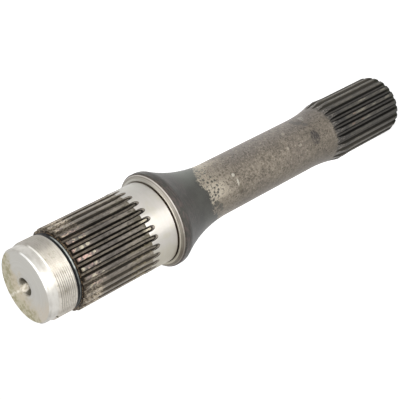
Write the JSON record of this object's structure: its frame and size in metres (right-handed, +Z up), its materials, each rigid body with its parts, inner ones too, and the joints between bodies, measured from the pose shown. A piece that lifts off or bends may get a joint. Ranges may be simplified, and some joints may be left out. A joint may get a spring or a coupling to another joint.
{
  "type": "splined pinion shaft",
  "caption": "One-piece steel drive shaft with a threaded nose, splines at both ends, a ground bearing journal and a flared shoulder, for a final drive.",
  "frame": {"origin": "centre of the small spline end face, which it stands on", "axes": "+Z up along the axis of the shaft, from the small spline to the threaded end"},
  "size_m": [0.0702, 0.0702, 0.3513],
  "materials": {
    "steel": "hardened steel: bright turned nose and ground journal, worn brown-grey splines, dark scaled flare and mottled shaft"
  },
  "bodies": {
    "root": {"pinion_shaft": "steel"}
  },
  "joints": []
}
